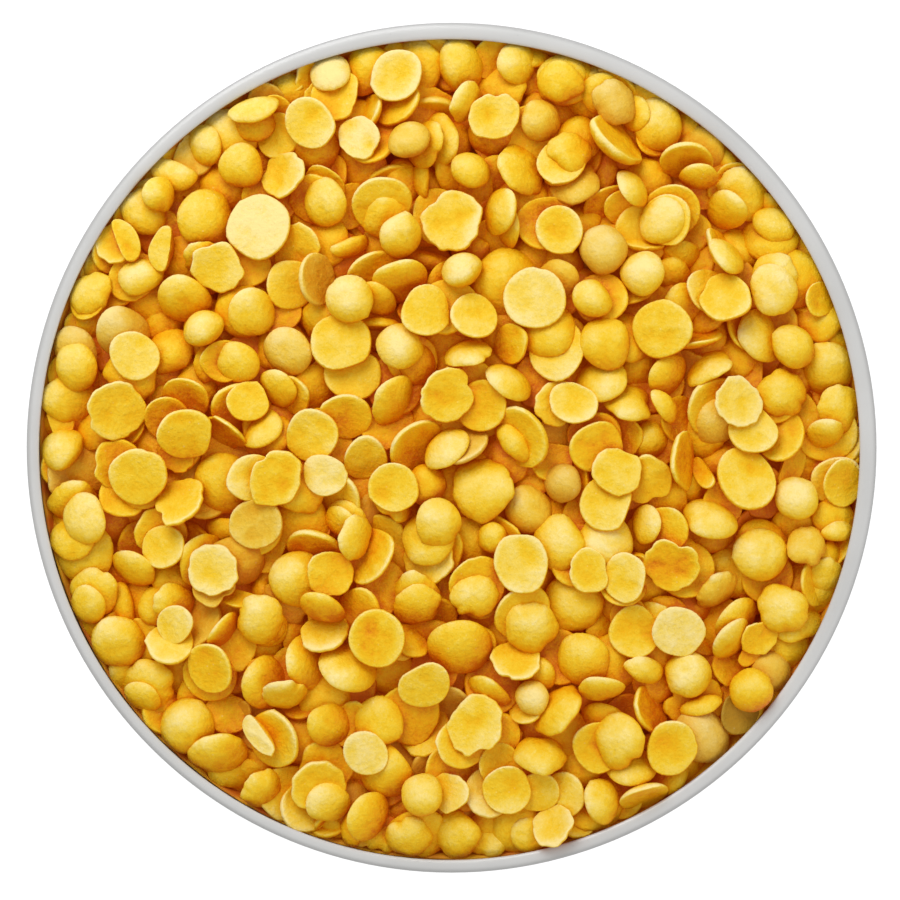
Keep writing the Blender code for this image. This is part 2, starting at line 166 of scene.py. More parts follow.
TINT_DRAW, PALE_DRAW = (1.6, 1.8), (1.5, 2.2)  # of beta distributions
TAN_DRAW = (0.3, 0.9)
CLOUD, MOTTLE, GRAIN, SPECK_STEP = 1.6 * MM, 0.42 * MM, 0.16 * MM, 0.75 * MM

# Painted light and shade on the heap
SKY_WAYS = 10
SKY_STEPS = np.array([0.5, 1.0, 1.7, 2.8, 4.5]) * MM
PAINTED_LIGHT_WAY = np.array([-0.38, 0.68, 0.62])  # the key light's way: faces turned this way are painted paler as light, those turned away deeper as shade
FACING_POWER, LEAST_FACING, FACING = 1.4, 0.08, 0.97

# Colours
# SHADED to CREAM run from painted shade in the crevices to painted light on faces toward the key light
SHADED = (0.62, 0.14, 0.001)
DEEP_ORANGE = (0.80, 0.34, 0.001)
GOLDEN = (0.83, 0.46, 0.004)
YELLOW = (0.86, 0.56, 0.022)
PALE_YELLOW = (0.89, 0.65, 0.11)
CREAM = (0.93, 0.75, 0.29)
# tan, from painted shade to painted light
DEEP_TAN, TAN, PALE_TAN = (0.58, 0.28, 0.015), (0.74, 0.46, 0.07), (0.83, 0.62, 0.21)
OLIVE = (0.36, 0.20, 0.008)
SPECK = (0.96, 0.86, 0.55)
NO_GLOW, GLOW, GLOW_STRENGTH = (0.0, 0.0, 0.0), (1.0, 0.1333, 0.0), 0.045  # painted glow: emission in the crevices that stands in for light passed through the lentils
ENAMEL, ENAMEL_CLOUD = (0.55, 0.55, 0.545), (0.60, 0.60, 0.595)
# the second colour is painted shade on the rim's outer shoulder, which turns away from the light
PIT, PAINTED_RIM_SHADE = (0.40, 0.40, 0.39), (0.38, 0.38, 0.38)
PAPER, PAPER_FIBRE = (0.20, 0.20, 0.20), (0.21, 0.21, 0.21)
PAPER_GLOW = 0.92
# the lentils' colour by their painted light, from painted shade to painted light
PAINTED_LIGHT_STOPS = (
    (0.0, SHADED), (0.20, DEEP_ORANGE), (0.38, GOLDEN), (0.56, YELLOW), (0.76, PALE_YELLOW), (0.98, CREAM))
# the same for tan lentils, from painted shade to painted light
TAN_STOPS = ((0.2, DEEP_TAN), (0.6, TAN), (1.0, PALE_TAN))

# Stage and lights
FLOOR_HALF = 6.0  # metres, so that no view from the side sees past it
LIT_PLACE = (0, 0, 0.02)
KEY_PLACE, KEY_WIDTH, KEY_POWER = (-0.10, 0.24, 0.26), 0.20, 0.745
SIDE_PLACE, SIDE_WIDTH, SIDE_POWER = (0.30, -0.12, 0.26), 0.30, 0.3
SURROUND, SURROUND_STRENGTH = (1.0, 0.99, 0.97, 1), 0.605
NEAREST_SEEN = 0.01


# The heap's rule

def level(radius):
    """Height of the heap's mean surface at this distance from the middle: a shallow paraboloid."""
    return EDGE_LEVEL + CROWN * (1 - np.clip(radius / REACH, 0, 1) ** 2)


def core_top(radius):
    """Height of the core's top: it lies deep under the mean surface, and rises steeply at the wall."""
    return level(radius) - CORE_DEPTH + CORE_RISE * np.exp(-((REACH - radius) / CORE_CORNER) ** 2)


def lip_half_width(angle):
    """Half the width of the rim's flattened roll at this angle about the dish's axis."""
    return LIP_HALF_WIDTH + LIP_MORE * np.cos(angle - LIP_WIDEST)


def ceiling(radius, angle):
    """How high the heap may be at a place: under the roll and clear of it, and 0 past the heap's reach."""
    half = lip_half_width(angle)
    near = 1 - ((RIM_RADIUS - half - radius) / (half + GAP)) ** 2
    drop = LIP_HALF_HEIGHT + (LIP_HALF_HEIGHT + GAP) * np.sqrt(np.maximum(near, 0))
    return np.where(radius > REACH, 0, np.where(near > 0, RIM_HEIGHT - drop, 1))


def draw_lentils(rng):
    """Kind of each lentil, its half sizes along, across and up the dome, and its seam face's depth."""
    kind = rng.choice(3, LENTILS, p=KIND_SHARES)
    along = np.clip(rng.normal(MEAN_RADIUS, RADIUS_SPREAD, LENTILS), LEAST_RADIUS, MOST_RADIUS)
    along[int(STAGE_ENDS[-1] * LENTILS):] *= LAST_SMALLER
    across = along * rng.uniform(*ACROSS, LENTILS)
    dome = along * rng.uniform(*DOME, LENTILS)
    seam = along * rng.uniform(*SEAM, LENTILS)
    whole, broken = kind == WHOLE, kind == BROKEN
    along[whole] *= WHOLE_SMALLER
    across[whole] = WHOLE_ACROSS * along[whole]
    dome[whole] = along[whole] * rng.uniform(*WHOLE_DOME, whole.sum())
    seam[whole] = WHOLE_SEAM * dome[whole]
    along[broken] *= BROKEN_SMALLER
    across[broken] = along[broken] * rng.uniform(*BROKEN_ACROSS, broken.sum())
    return kind, np.stack([along, across, dome], 1), seam


def bed_places(rng):
    """Distance and angle from the middle, and depth, of the lentils laid first.

    They are a hexagonal grid, each point moved a little, and a higher ring, by turns at two depths, that
    fills the corner at the wall."""
    count = int(REACH / BED_STEP) + 2
    i, j = np.meshgrid(np.arange(-count, count + 1), np.arange(-count, count + 1))
    x = (i + 0.5 * (j % 2)) * BED_STEP + rng.uniform(-BED_JITTER, BED_JITTER, i.shape)
    y = j * BED_STEP * math.sqrt(0.75) + rng.uniform(-BED_JITTER, BED_JITTER, i.shape)
    radius, angle = np.hypot(x, y).ravel(), np.arctan2(y, x).ravel()
    inside = radius < REACH
    ring = np.arange(WALL_RING) + rng.uniform(-RING_JITTER, RING_JITTER, WALL_RING)
    ring = ring * 2 * math.pi / WALL_RING
    depth = np.append(np.full(inside.sum(), BED_DEPTH), np.resize(WALL_RING_DEPTHS, WALL_RING))
    return np.append(radius[inside], np.full(WALL_RING, REACH)), np.append(angle[inside], ring), depth


def free_places(rng):
    """Random distances and angles from the middle, the last of them near the wall."""
    inner = np.where(np.arange(TRIES) < TRIES - WALL_TRIES, 0.0, WALL_BAND)
    return REACH * np.sqrt(rng.uniform(inner, 1)), rng.uniform(0, 2 * math.pi, TRIES)


def unit(vectors):
    """The vectors, one in each row, at length 1."""
    return vectors / np.linalg.norm(vectors, axis=1, keepdims=True)


def turned_about(normal, spin):
    """Rotation matrices whose third column is the normal, turned about it by spin."""
    helper = np.where(np.abs(normal[:, 2:3]) < 0.9, [[0.0, 0.0, 1.0]], [[1.0, 0.0, 0.0]])
    x = unit(np.cross(helper, normal))
    y = np.cross(normal, x)
    cosine, sine = np.cos(spin)[:, None], np.sin(spin)[:, None]
    return np.stack([x * cosine + y * sine, y * cosine - x * sine, normal], 2)


def faces_over(turn, size, seam, dx, dy):
    """Under and upper face of a lentil over each cell, from its middle, and the cells that it covers.

    Along the upright line over a cell, a lentil is what lies both in an ellipsoid, between the two roots of
    a quadratic, and on the dome's side of the seam face."""
    across = turn[:, 0, :, None, None] * dx[:, None] + turn[:, 1, :, None, None] * dy[:, None]
    up = turn[:, 2, :, None, None]
    u, w = across / size[:, None, None], up / size[:, None, None]
    square, half, rest = (w * w).sum(1), (u * w).sum(1), (u * u).sum(1) - 1
    root = half * half - square * rest
    inside = root > 0
    root = np.sqrt(np.maximum(root, 0))
    under, upper = (-half - root) / square, (-half + root) / square
    rise = np.where(np.abs(up[:, 2]) < 1e-3, 1e-3, up[:, 2])
    cut = (-seam - across[:, 2]) / rise
    under = np.where(rise > 0, np.maximum(under, cut), under)
    upper = np.where(rise > 0, upper, np.minimum(upper, cut))
    return under, upper, inside & (upper > under)


class Ground:
    """Height map of the heap so far, with the number of the lentil that shows in each cell."""

    def __init__(self):
        self.half = int(math.ceil(REACH / CELL)) + PATCH + MARGIN
        self.axis = (np.arange(2 * self.half + 1) - self.half) * CELL
        x, y = np.meshgrid(self.axis, self.axis)
        self.radius = np.hypot(x, y)
        self.ceiling = ceiling(self.radius, np.arctan2(y, x))
        self.top = level(self.radius) - BED_DEPTH
        self.owner = np.full(self.top.shape, -1)

    def around(self, x, y):
        """Rows and columns of the cells about each point, and their places from it."""
        reach = np.arange(-PATCH, PATCH + 1)
        rows = np.rint(y / CELL).astype(int)[:, None, None] + self.half + reach[None, :, None]
        cols = np.rint(x / CELL).astype(int)[:, None, None] + self.half + reach[None, None, :]
        return rows, cols, self.axis[cols] - x[:, None, None], self.axis[rows] - y[:, None, None]

    def slope(self, x, y, reach):
        """Slope of the ground about each point, along X and along Y, by least squares."""
        rows, cols, dx, dy = self.around(x, y)
        near = (dx**2 + dy**2 < reach**2) & (self.radius[rows, cols] < REACH)
        height = self.top[rows, cols]
        mean = (height * near).sum((1, 2)) / near.sum((1, 2))
        rise = (height - mean[:, None, None]) * near
        return [(rise * d).sum((1, 2)) / (d * d * near).sum((1, 2)) for d in (dx, dy)]

    def take(self, cells, upper, number):
        """Raises the ground to a lentil's upper face and notes where the lentil shows."""
        self.owner[cells] = np.where(upper > self.top[cells], number, self.owner[cells])
        self.top[cells] = np.maximum(upper, self.top[cells])


def resting_turns(rng, ground, x, y, size):
    """Random turns that follow the ground about each point but for one tilt, seam face up or down."""
    count = len(x)
    slope_x, slope_y = ground.slope(x, y, SLOPE_REACH * size[0])
    steep = np.maximum(np.hypot(slope_x, slope_y), 1e-9)
    kept = np.minimum(SLOPE_KEPT * steep, SLOPE_MOST) / steep
    normal = unit(np.stack([-slope_x * kept, -slope_y * kept, np.ones(count)], 1))
    tilt = min(abs(rng.normal(0, TILT_SPREAD)), STEEPEST)
    lean = rng.uniform(0, 2 * math.pi, count)
    normal = unit(normal + math.tan(tilt) * np.stack([np.cos(lean), np.sin(lean), 0 * lean], 1))
    normal *= rng.choice((-1, 1), count)[:, None]
    return turned_about(normal, rng.uniform(0, 2 * math.pi, count))


def lay_lentils():
    """Lays every lentil in turn: of many places and tilts, it takes the one that costs least.

    A place costs its height above the heap's mean surface, for the lentil's weight and its crest, and the
    hollow left under it. One that goes through the wall or the roll, or is far too proud, costs too much."""
    rng = np.random.default_rng(SEED)
    kind, size, seam = draw_lentils(rng)
    bed_radius, bed_angle, bed_depth = bed_places(rng)
    ground = Ground()
    middles, turns = np.zeros((LENTILS, 3)), np.zeros((LENTILS, 3, 3))
    for i in range(LENTILS):
        in_bed = i < len(bed_radius)
        radius, angle = (bed_radius[i : i + 1], bed_angle[i : i + 1]) if in_bed else free_places(rng)
        way = np.stack([np.cos(angle), np.sin(angle)], 1)
        turn = resting_turns(rng, ground, radius * way[:, 0], radius * way[:, 1], size[i])
        outward = turn[:, 0] * way[:, :1] + turn[:, 1] * way[:, 1:]
        most = REACH - OVERSIZE * np.sqrt(((outward * size[i]) ** 2).sum(1))
        at_wall = radius > most
        radius = np.minimum(radius, most)
        x, y = radius * way[:, 0], radius * way[:, 1]
        rows, cols, dx, dy = ground.around(x, y)
        under, upper, covers = faces_over(turn, size[i], seam[i], dx, dy)
        height = ground.top[rows, cols]
        if in_bed:
            room = np.where(covers, ground.ceiling[rows, cols] - upper, 1).min((1, 2))
            z = np.minimum(level(radius) - bed_depth[i] + rng.uniform(-BED_ROUGH, BED_ROUGH, 1), room)
        else:
            stage = np.searchsorted(STAGE_ENDS, i / LENTILS, side="right")
            z = np.where(covers, height - under, -1).max((1, 2)) - STAGE_SINKS[stage]
        lift = z[:, None, None]
        hollow = np.where(covers, under + lift - height, 0).sum((1, 2)) / covers.sum((1, 2))
        crest = np.where(covers, upper, -1).max((1, 2)) + z - level(radius)
        heavy = turn[:, 2, 2] * (HALF_MIDDLE * size[i, 2] - 0.5 * seam[i]) * (kind[i] != WHOLE)
        weight = z + heavy - level(radius)
        blocked = covers & (upper + lift > ground.ceiling[rows, cols])
        cost = WEIGHT_COST * weight + CREST_COST * crest + HOLLOW_COST * hollow - WALL_FAVOUR * at_wall
        cost += PROUD_COST * np.maximum(crest - PROUD, 0) + blocked.any((1, 2))
        best = int(np.argmin(cost))
        middles[i] = x[best], y[best], z[best]
        turns[i] = turn[best]
        ground.take((rows[best], cols[best]), np.where(covers[best], upper[best] + z[best], -1), i)
    return kind, size, seam, middles, turns, ground


def lay_fillers(ground):
    """Lays more lentils low in the gaps, which in the solid heap the core fills.

    Of many places, each takes the one where it covers the most of the gaps and passes through the fewest of
    the lentils round it. One that would cover too little is left out. Returns what lay_lentils does, but for
    the ground."""
    rng = np.random.default_rng(SEED)
    kind, size, seam = (values[:FILLERS] for values in draw_lentils(rng))
    middles, turns = np.zeros((FILLERS, 3)), np.zeros((FILLERS, 3, 3))
    laid = np.zeros(FILLERS, bool)
    depth = np.where(ground.radius > REACH - WALL_GAP, WALL_GAP_DEPTH, GAP_DEPTH)
    in_view = ground.radius < RIM_RADIUS - 2 * LIP_HALF_WIDTH
    for i in range(FILLERS):
        gaps = in_view & (ground.top < level(ground.radius) - depth)
        rows, cols = np.nonzero(gaps)
        pick = rng.integers(len(rows), size=TRIES)
        near = np.stack([ground.axis[cols[pick]], ground.axis[rows[pick]]], 1)
        near += rng.normal(0, MM, (TRIES, 2))
        radius, way = np.minimum(np.hypot(*near.T), REACH), unit(near)
        turn = resting_turns(rng, ground, radius * way[:, 0], radius * way[:, 1], size[i])
        outward = turn[:, 0] * way[:, :1] + turn[:, 1] * way[:, 1:]
        radius = np.minimum(radius, REACH - OVERSIZE * np.sqrt(((outward * size[i]) ** 2).sum(1)))
        x, y = radius * way[:, 0], radius * way[:, 1]
        rows, cols, dx, dy = ground.around(x, y)
        under, upper, covers = faces_over(turn, size[i], seam[i], dx, dy)
        crest = np.where(covers, upper, -1).max((1, 2))
        room = np.where(covers, ground.ceiling[rows, cols] - upper, 1).min((1, 2))
        z = np.minimum(level(radius) - rng.uniform(*FILLER_DEPTHS, TRIES) - crest, room)
        above = upper + z[:, None, None] - ground.top[rows, cols]
        fills = (covers & gaps[rows, cols] & (above > 0)).sum((1, 2))
        crosses = (covers & (np.abs(above) < CROSSING)).sum((1, 2))
        best = int(np.argmax(fills - CROSSING_COST * crosses))
        laid[i] = fills[best] * CELL**2 > LEAST_FILLED
        if laid[i]:
            middles[i] = x[best], y[best], z[best]
            turns[i] = turn[best]
            cells = rows[best], cols[best]
            ground.take(cells, np.where(covers[best], upper[best] + z[best], -1), LENTILS + laid[:i].sum())
    return kind[laid], size[laid], seam[laid], middles[laid], turns[laid]


# Surfaces

def add_piece(name, points, faces, replaced, material, attributes=()):
    """A smooth piece from points and faces, riding on the one body, in the place of a solid."""
    mesh = bpy.data.meshes.new(name)
    mesh.from_pydata(points, [], faces)
    mesh.polygons.foreach_set("use_smooth", np.ones(len(faces), bool))
    for label, values in attributes:
        mesh.attributes.new(label, "FLOAT", "POINT").data.foreach_set("value", values.astype(np.float32))
    mesh.materials.append(material)
    piece = bpy.data.objects.new(name, mesh)
    bpy.context.scene.collection.objects.link(piece)
    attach(piece, "root")
    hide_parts(replaced)
    return piece


def closed_grid_faces(rings, sides):
    """Faces of a closed form: a pole, then rings of points one after another, then the other pole."""
    ring, side = np.meshgrid(np.arange(rings - 1), np.arange(sides), indexing="ij")
    here, beside = 1 + ring * sides + side, 1 + ring * sides + (side + 1) % sides
    quads = np.stack([here, here + sides, beside + sides, beside], 2).reshape(-1, 4)
    k = np.arange(sides)
    last = 1 + (rings - 1) * sides
    first_fan = np.stack([np.zeros_like(k), 1 + k, 1 + (k + 1) % sides], 1)
    last_fan = np.stack([np.full_like(k, last + sides), last + (k + 1) % sides, last + k], 1)
    return quads, np.concatenate([first_fan, last_fan])


def many(quads, fans, count, points_each):
    """The same faces for each of many forms whose points follow one another."""
    step = np.arange(count)[:, None, None] * points_each
    return (quads + step).reshape(-1, 4).tolist() + (fans + step).reshape(-1, 3).tolist()


def outline(rng, angle, count, ragged, broken):
    """Reach of each lentil's edge at each angle, as a share of its half size.

    It is 1 with small waves, and flattened on one side. Ragged ones have more and shorter waves and one or
    two bites, many have a small nub or a notch where the shoot was, and broken ones are cut off by a nearly
    straight line."""
    def drawn(span):
        return rng.uniform(*span, (count, 1))

    def wave(order, least, most):
        size = drawn((least, most))
        return size * np.cos(order * angle + drawn((0, 2 * math.pi)))

    def bump_at(width, height):
        away = np.angle(np.exp(1j * (angle - drawn((0, 2 * math.pi)))))
        return height * np.exp(-(away / width) ** 2)

    def some(span):
        return (rng.random((count, 1)) < NUB_SHARE) * drawn(span)

    ragged = ragged[:, None]
    reach = sum((wave(*values) for values in WAVES), start=1)
    reach += ragged * sum(wave(*values) for values in RAGGED_WAVES)
    for width, depth in BITES:
        reach -= bump_at(drawn(width), ragged * drawn(depth))
    for width, height in NUBS:
        reach += bump_at(width, some(height))
    away = np.cos(angle - drawn((0, 2 * math.pi)))
    flattened = drawn(FLATTENED) / np.maximum(away, LEAST_COSINE)
    reach = (reach**-FLAT_POWER + flattened**-FLAT_POWER) ** (-1 / FLAT_POWER)
    reach -= bump_at(NOTCH, some(NOTCH_DEPTH))
    away = -np.sin(angle + rng.normal(0, BREAK_LEAN, (count, 1)))
    straight = drawn(BREAK) / np.maximum(away, LEAST_COSINE)
    cut_off = (reach**-BREAK_POWER + straight**-BREAK_POWER) ** (-1 / BREAK_POWER)
    return np.where(broken[:, None], cut_off, reach)


def section(rings):
    """Reach and lift of each ring of a split lentil, from the dome's top to the seam face's middle.

    The dome is like a lens: its lift falls from 1 to 0 as the cosine to a power while its reach grows as the
    sine. Then a narrow edge rounds over to the seam face, lift 0 to -1 in parts of the seam's own depth, and
    the face runs in to the middle."""
    face = np.array(FACE_RINGS if rings > COARSE else COARSE_FACE_RINGS)
    dome = round(DOME_RINGS * (rings - len(face)))
    turn = np.linspace(0, math.pi / 2, dome + 1)[1:]
    edge = np.linspace(0, math.pi / 2, rings - dome - len(face) + 1)[1:]
    reach = np.concatenate([np.sin(turn), 1 - EDGE_SHARE * (1 - np.cos(edge)), face])
    lift = np.concatenate([np.cos(turn) ** DOME_POWER, -np.sin(edge), -np.ones(len(face))])
    return reach, lift


def lentil_points(rng, size, seam, whole, ragged, broken, middles, turns, rings, sides):
    """Points of many lentils, and for each how near it is to the edge and whether it is on the seam face.

    A point lies out by its ring's reach times the edge's, and up by its ring's lift times the dome's height,
    or down by the seam's depth. A hollow of the face, shallow dents, a curved ridge over the face and a bend
    like a saddle's are then taken from or added to its height."""
    count = len(size)

    def drawn(span):
        return rng.uniform(*span, (count, 1, 1))

    angle = np.linspace(0, 2 * math.pi, sides, endpoint=False)[None, :]
    edge = outline(rng, angle, count, ragged, broken)
    reach, lift = section(rings)
    seam_side = lift < 0
    seam_side[-1] = True
    shape = edge[:, None, :] ** (reach[None, :, None] ** 2) * reach[None, :, None]
    x, y = shape * np.cos(angle)[:, None], shape * np.sin(angle)[:, None]
    along, across, dome = (size[:, k, None, None] for k in range(3))
    up = np.repeat(np.where(lift > 0, lift, 0)[None, :, None], sides, 2) * dome
    down = np.repeat(np.where(lift < 0, -lift, 0)[None, :, None], sides, 2)
    down = down * np.where(whole, size[:, 2], seam)[:, None, None]
    under = np.sqrt(np.maximum(1 - np.minimum(reach, 1) ** 2, 0)) * seam_side
    down = np.where(whole[:, None, None], under[None, :, None] * dome, down)
    face = ~whole[:, None, None] * seam_side[None, :, None]
    inner = (reach / (1 - EDGE_SHARE))[None, :, None]
    down = down - face * (1 - inner**4).clip(0) * drawn(FACE_HOLLOW) * along
    z = up - down
    side = np.where(seam_side[None, :, None], -1.0, 1.0)
    for _ in range(DENTS):
        away, where = drawn(DENT_PLACES), drawn((0, 2 * math.pi))
        width = drawn(DENT_WIDTHS)
        depth = drawn(DENT_DEPTHS) * along
        gap = (x - away * np.cos(where)) ** 2 + (y - away * np.sin(where)) ** 2
        z = z - side * depth * np.exp(-gap / width**2) * (1 - reach[None, :, None] ** 4)
    way = drawn((0, 2 * math.pi))
    off = x * np.sin(way) - y * np.cos(way) + drawn(RIDGE_PLACES)
    off = off + drawn(RIDGE_CURVES) * (x * np.cos(way) + y * np.sin(way)) ** 2
    ridge = drawn(RIDGE_HEIGHTS) * np.exp(-(off / drawn(RIDGE_WIDTHS)) ** 2)
    z = z - face * ridge * (1 - inner**6).clip(0) * along
    bend = rng.normal(0, BEND_SPREAD, (count, 1, 1)) * along
    z = z + bend * (x**2 - y**2)
    local = np.stack([x * along, y * across, z], 3)
    top, bottom = (local[:, ring].mean(1, keepdims=True) for ring in (0, -1))
    top[:, 0, 2] += DOME_MIDDLE * size[:, 2]
    local = np.concatenate([top, local.reshape(count, -1, 3), bottom], 1)
    points = np.einsum("nij,npj->npi", turns, local) + middles[:, None]
    near_edge = np.exp(-((reach - 1) / RUBBED_REACH) ** 2)
    near_edge = near_edge * np.where(lift > 0, np.exp(-(lift / RUBBED_LIFT) ** 2), 1)
    spread = [np.concatenate([[0.0], np.repeat(near_edge, sides), [0.0]]),
              np.concatenate([[0.0], np.repeat(seam_side.astype(float), sides), [1.0]])]
    return points, [np.tile(values, (count, 1)) for values in spread]


def revolved(name, sections, replaced, material, labels=()):
    """A closed form carried round Z: one section of (radius, height) for each of evenly spaced angles.

    The first and last points of every section lie on the axis and become the two poles. Each label names an
    attribute and the function of radius and height that gives it."""
    sections = np.asarray(sections)
    sides, length, _ = sections.shape
    angle = np.arange(sides)[:, None] * 2 * math.pi / sides
    body = sections[:, 1:-1]
    points = np.stack([body[..., 0] * np.cos(angle), body[..., 0] * np.sin(angle), body[..., 1]], 2)
    points = points.transpose(1, 0, 2).reshape(-1, 3)
    poles = np.array([[0, 0, sections[0, 0, 1]], [0, 0, sections[0, -1, 1]]])
    quads, fans = closed_grid_faces(length - 2, sides)
    points = np.concatenate([poles[:1], points, poles[1:]])
    spread = [(label, rule(np.hypot(points[:, 0], points[:, 1]), points[:, 2])) for label, rule in labels]
    faces = quads[:, ::-1].tolist() + fans[:, ::-1].tolist()
    return add_piece(name, points, faces, replaced, material, spread)


# Materials

class Value:
    """A shader socket that takes part in sums: each operator adds the Math node that does it."""

    def __init__(self, tree, socket):
        self.tree, self.socket = tree, socket

    def math(self, operation, *others):
        return Value(self.tree, add_node(self.tree, "ShaderNodeMath", {"operation": operation},
                                         {n: other for n, other in enumerate(others)}))

    def __add__(self, other):
        return self.math("ADD", self, other)

    def __sub__(self, other):
        return self.math("SUBTRACT", self, other)

    def __rsub__(self, other):
        return self.math("SUBTRACT", other, self)

    def __mul__(self, other):
        return self.math("MULTIPLY", self, other)

    def __truediv__(self, other):
        return self.math("DIVIDE", self, other)

    def clamped(self):
        return self.math("MINIMUM", self.math("MAXIMUM", self, 0.0), 1.0)

    __radd__, __rmul__ = __add__, __mul__


def add_node(tree, kind, settings=(), inputs=(), output=0):
    """Adds a node: its settings, then its inputs, each a value or a link. Returns one output's socket."""
    node = tree.nodes.new(kind)
    for name, value in dict(settings).items():
        if name == "stops":
            ramp = node.color_ramp
            while len(ramp.elements) < len(value):
                ramp.elements.new(0.5)
            for element, (place, colour) in zip(ramp.elements, value):
                element.position, element.color = place, (*colour, 1)
        else:
            setattr(node, name, value)
    for name, value in dict(inputs).items():
        value = value.socket if isinstance(value, Value) else value
        if isinstance(value, bpy.types.NodeSocket):
            tree.links.new(value, node.inputs[name])
        else:
            node.inputs[name].default_value = value
    return node.outputs[output]


class Finish:
    """A material being made: its node tree, its Principled shader, and the patterns that it is made of."""

    def __init__(self, name, **constants):
        self.material = bpy.data.materials.new(name)
        self.material.use_nodes = True
        self.tree = self.material.node_tree
        self.shader = self.tree.nodes["Principled BSDF"]
        self.place = add_node(self.tree, "ShaderNodeTexCoord", output="Object")
        for name, value in constants.items():
            self.shader.inputs[name.replace("_", " ").title().replace("Ior", "IOR")].default_value = value

    def value(self, kind, settings=(), inputs=(), output=0):
        return Value(self.tree, add_node(self.tree, kind, settings, inputs, output))

    def attribute(self, name):
        return self.value("ShaderNodeAttribute", {"attribute_name": name}, output="Fac")

    def noise(self, size, detail=2.0, roughness=0.5):
        """Noise whose grains are about this many metres across, from 0 to 1."""
        return self.value("ShaderNodeTexNoise", {}, {
            "Vector": self.place, "Scale": 1 / size, "Detail": detail, "Roughness": roughness})

    def spots(self, size, share):
        """Spots about this many metres apart, 1 at a spot's middle and 0 past this share of the way out."""
        away = self.value("ShaderNodeTexVoronoi", {}, {"Vector": self.place, "Scale": 1 / size}, "Distance")
        return (1 - away / share).clamped()

    def between(self, first, second, amount):
        """The first colour where the amount is 0 and the second where it is 1."""
        return add_node(self.tree, "ShaderNodeMix", {"data_type": "RGBA"},
                        {"Factor": amount, "A": colour_of(first), "B": colour_of(second)}, "Result")

    def ramp(self, amount, stops):
        return add_node(self.tree, "ShaderNodeValToRGB", {"stops": stops}, {"Fac": amount}, "Color")

    def set(self, name, value):
        value = value.socket if isinstance(value, Value) else value
        self.tree.links.new(value, self.shader.inputs[name])

    def bump(self, height):
        """Relief from a height in millimetres."""
        self.set("Normal", self.value("ShaderNodeBump", {}, {"Distance": MM, "Height": height}, "Normal"))


def colour_of(value):
    """A colour as a socket takes it."""
    return (*value, 1.0) if isinstance(value, tuple) else value


def lentil_finish():
    """Dry split lentil: yellow that differs from one to the next, painted paler as light where it lies open
    and faces the key light, deeper orange as painted shade in the crevices with a painted glow there, rubbed
    pale along the edge, with fine grain and light specks."""
    finish = Finish("lentil", ior=1.42, specular_ior_level=0.2, emission_strength=GLOW_STRENGTH)
    # 'open' is the painted light and shade: the sky a point sees, times how far it faces the key light
    tint, pale, tan, light = (finish.attribute(name) for name in ("tint", "pale", "tan", "open"))
    edge, seam = finish.attribute("edge"), finish.attribute("seam")
    cloud = finish.noise(CLOUD, 2.0)
    mottle = finish.noise(MOTTLE, 3.0, 0.6)
    grain = finish.noise(GRAIN, 2.0, 0.6)
    specks = finish.spots(SPECK_STEP, 0.16) * (cloud - 0.42).clamped() * 4
    # pale wear along the edge, scaled by the painted light, so that on lit edges it is partly a painted
    # highlight
    rubbed_and_lit = (edge * (0.2 + 1.1 * mottle)).clamped() * light
    patches = (cloud - 0.5) * 0.45 + (mottle - 0.5) * 0.3 + (grain - 0.5) * 0.3
    own = (pale - 0.4) * (0.25 + seam * 0.15) + (tint - 0.5) * 0.16
    # painted light and shade added to the lentil's own tone, wear and patches; it picks the colour from
    # painted shade to painted light
    tone_and_painted_light = light + own + rubbed_and_lit * 0.25 + patches - seam * 0.05
    colour = finish.ramp(tone_and_painted_light.clamped(), PAINTED_LIGHT_STOPS)
    dull = finish.ramp(tone_and_painted_light.clamped(), TAN_STOPS)
    colour = finish.between(colour, dull, (tan * (0.6 + 0.5 * cloud)).clamped())
    colour = finish.between(colour, OLIVE, (tan - 1).clamped())
    # light specks, shown only as far as the painted light reaches
    colour = finish.between(colour, SPECK, (specks * 0.6 * light).clamped())
    finish.set("Base Color", colour)
    finish.set("Roughness", (0.5 + tone_and_painted_light * 0.15 + (mottle - 0.5) * 0.12).clamped())
    # painted glow in the crevices, strongest where the painted light is lowest
    finish.set("Emission Color", finish.between(NO_GLOW, GLOW, ((0.75 - light) * 1.3).clamped()))
    finish.bump(cloud * 0.17 + mottle * 0.15)
    return finish.material


def core_finish():
    """The lentils deep in the heap, which show only as dark gaps: a lumpy deep orange, partly the painted
    shade colour of the crevices.
    """
    finish = Finish("deep lentils", roughness=0.7)
    lumps = finish.noise(2.5 * MM, 1.0)
    # between painted shade (SHADED) and golden
    finish.set("Base Color", finish.ramp(lumps, [(0.3, SHADED), (0.7, GOLDEN)]))
    finish.bump(lumps * 0.5)
    return finish.material


def enamel_finish():
    """Pale grey enamel on steel: nearly even, faintly cloudy and wavy, with tiny specks in the glaze, and
    painted shade on the rim's outer shoulder.
    """
    finish = Finish("grey enamel", ior=1.5, coat_weight=0.25, coat_roughness=0.2)
    cloud = finish.noise(9 * MM, 3.0)
    pits = finish.spots(1.3 * MM, 0.1) * (finish.noise(5 * MM, 1.0) - 0.45).clamped() * 5
    colour = finish.ramp(cloud, [(0.3, ENAMEL), (0.7, ENAMEL_CLOUD)])
    colour = finish.between(colour, PIT, (pits * 0.5).clamped())
    # painted shade on the rim's outer shoulder, where it turns away from the light
    colour = finish.between(colour, PAINTED_RIM_SHADE, finish.attribute("rim_edge"))
    finish.set("Base Color", colour)
    finish.set("Roughness", 0.34 + (finish.noise(3 * MM, 2.0) - 0.5) * 0.16)
    finish.bump(finish.noise(1.6 * MM, 1.0) * 0.012 - pits * 0.01)
    return finish.material


